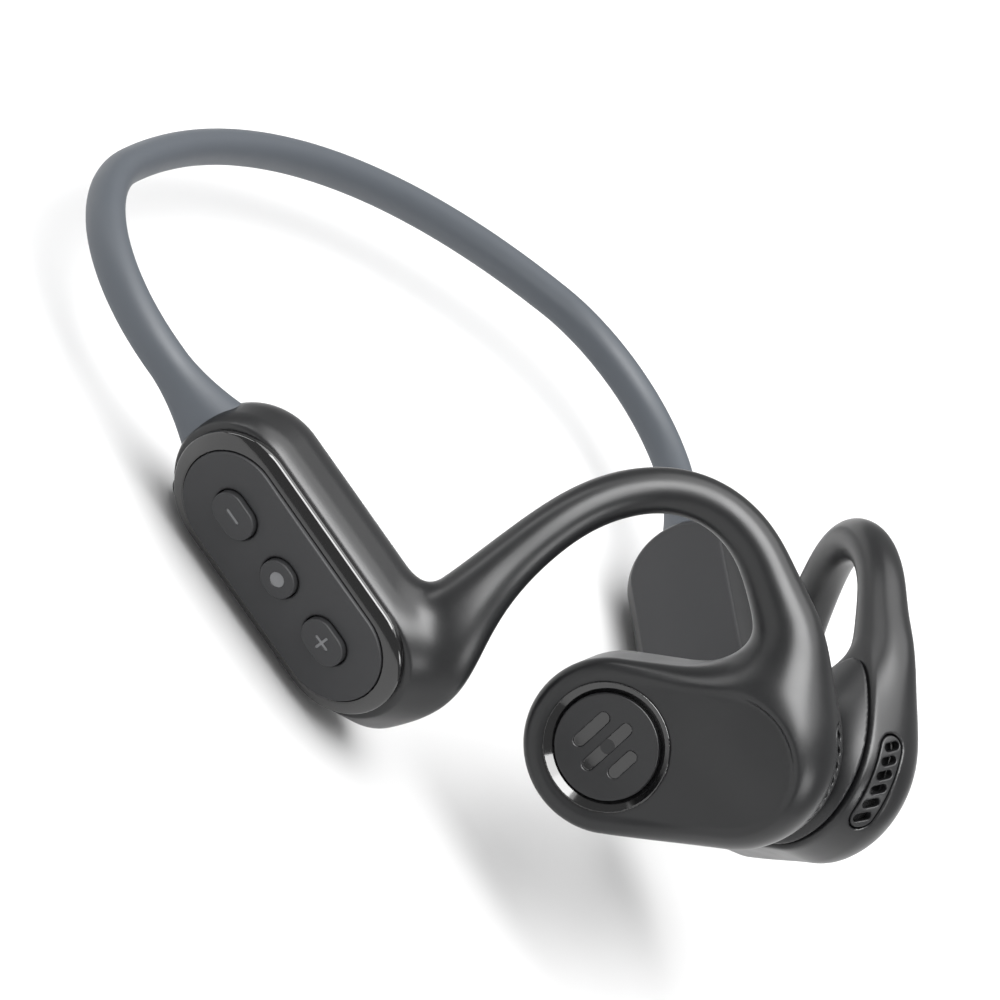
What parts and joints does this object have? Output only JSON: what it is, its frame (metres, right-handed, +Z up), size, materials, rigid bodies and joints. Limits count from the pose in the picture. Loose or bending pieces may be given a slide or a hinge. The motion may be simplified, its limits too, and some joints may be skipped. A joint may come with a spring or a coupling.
{
  "type": "open-ear neckband headphones",
  "caption": "Neckband headphones with ear hooks, battery pods, push buttons and open-ear speaker pods.",
  "frame": {"origin": "middle of the base of the bounding box, below the space between the two pods", "axes": "+Z up with neckband and pods level, +X to the wearer's left, -Y to the front (towards the face)"},
  "size_m": [0.1198, 0.115, 0.0512],
  "materials": {
    "band_silicone": "matte silicone",
    "housing": "satin graphite coating",
    "dark_plastic": "satin moulded plastic",
    "gloss_black": "polished",
    "matte_panel": "fine matte texture",
    "light_dot": "matte inlay",
    "wire": "drawn shape-memory alloy",
    "socket_metal": "stamped metal",
    "board": "solder mask",
    "battery_foil": "foil pouch",
    "driver_metal": "satin",
    "mesh": "fine woven mesh",
    "flap_silicone": "matte silicone"
  },
  "bodies": {
    "right_side": {"right_pod_shell": "housing", "right_inner_cover": "matte_panel", "right_bezel": "gloss_black", "right_control_panel": "matte_panel", "switch_minus": "socket_metal", "switch_center": "socket_metal", "switch_plus": "socket_metal", "control_board": "board", "right_battery": "battery_foil", "charge_socket": "socket_metal", "right_hook_sleeve": "housing", "right_hook_wire": "wire", "right_speaker_shell": "housing", "right_speaker_cover": "dark_plastic", "right_sound_grille": "mesh", "right_driver": "driver_metal", "right_badge": "gloss_black", "right_vent_plate": "dark_plastic", "right_vent_mesh": "mesh", "neckband_sleeve_right": "band_silicone", "neckband_wire_right": "wire"},
    "left_side": {"left_pod_shell": "housing", "left_inner_cover": "matte_panel", "left_bezel": "gloss_black", "left_panel": "matte_panel", "left_battery": "battery_foil", "left_hook_sleeve": "housing", "left_hook_wire": "wire", "left_speaker_shell": "housing", "left_speaker_cover": "dark_plastic", "left_sound_grille": "mesh", "left_driver": "driver_metal", "left_badge": "gloss_black", "left_vent_plate": "dark_plastic", "left_vent_mesh": "mesh", "neckband_sleeve_left": "band_silicone", "neckband_wire_left": "wire"},
    "minus_button": {"button_minus": "matte_panel"},
    "center_button": {"button_center": "matte_panel", "center_dot": "light_dot"},
    "plus_button": {"button_plus": "matte_panel"},
    "flap": {"port_flap": "flap_silicone"}
  },
  "joints": [
    {"name": "neckband_flex", "type": "hinge", "parent": "right_side", "child": "left_side", "pos_m": [0, 0.0554, 0.01004], "axis": [0, 0, 1], "range_deg": [0, 30], "stiffness_Nm_per_rad": 0.2},
    {"name": "press_minus", "type": "slide", "parent": "right_side", "child": "minus_button", "axis": [0.8865, 0.4134, 0.2079], "range_m": [0, 0.00035], "stiffness_N_per_m": 3000},
    {"name": "press_center", "type": "slide", "parent": "right_side", "child": "center_button", "axis": [0.8865, 0.4134, 0.2079], "range_m": [0, 0.00035], "stiffness_N_per_m": 3000},
    {"name": "press_plus", "type": "slide", "parent": "right_side", "child": "plus_button", "axis": [0.8865, 0.4134, 0.2079], "range_m": [0, 0.00035], "stiffness_N_per_m": 3000},
    {"name": "port_flap_open", "type": "hinge", "parent": "right_side", "child": "flap", "pos_m": [-0.04834, 0.00542, 0.00049], "axis": [0.8865, 0.4134, 0.2079], "range_deg": [0, 100], "stiffness_Nm_per_rad": 0.001}
  ]
}
